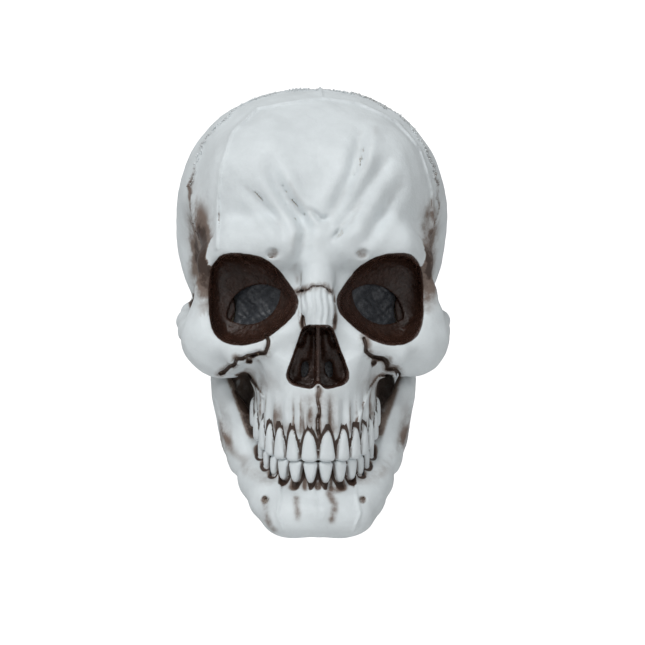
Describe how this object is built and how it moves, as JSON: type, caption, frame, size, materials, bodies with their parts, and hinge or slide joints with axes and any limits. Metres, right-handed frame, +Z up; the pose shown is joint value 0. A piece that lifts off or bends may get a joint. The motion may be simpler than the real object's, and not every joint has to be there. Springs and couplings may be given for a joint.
{
  "type": "latex skull mask",
  "caption": "Full-head latex skull mask with a hinged lower jaw, mesh-backed eye holes and foam fitting pads.",
  "frame": {"origin": "centre of the flat underside of the crown pad, where the mask rests on the wearer's head", "axes": "+Z up, the face looks along -Y, and the wearer's left side is +X"},
  "size_m": [0.1616, 0.2006, 0.2506],
  "materials": {
    "latex": "matte bone-white paint with a brown wash in the hollows",
    "foam": "open-cell foam",
    "mesh": "fine dark netting",
    "nylon": "moulded, satin",
    "elastic": "woven elastic"
  },
  "bodies": {
    "head": {"cranium_shell": "latex", "crown_pad": "foam", "forehead_pad": "foam", "nape_pad": "foam", "nose_mesh": "mesh", "temple_pad_left": "foam", "temple_pad_right": "foam", "eye_mesh_left": "mesh", "eye_mesh_right": "mesh", "pivot_post_left": "nylon", "pivot_post_right": "nylon", "pivot_washer_left": "nylon", "pivot_washer_right": "nylon", "pivot_cap_left": "nylon", "pivot_cap_right": "nylon", "jaw_elastic_left": "elastic", "jaw_elastic_right": "elastic"},
    "jaw": {"jaw_shell": "latex", "chin_pad": "foam"}
  },
  "joints": [
    {"name": "jaw_hinge", "type": "hinge", "parent": "head", "child": "jaw", "pos_m": [0, -0.013, -0.119], "axis": [1, 0, 0], "range_deg": [0, 16], "stiffness_Nm_per_rad": 0.08, "springref_deg": -34.38, "deforming": ["jaw_elastic_left", "jaw_elastic_right"]}
  ]
}
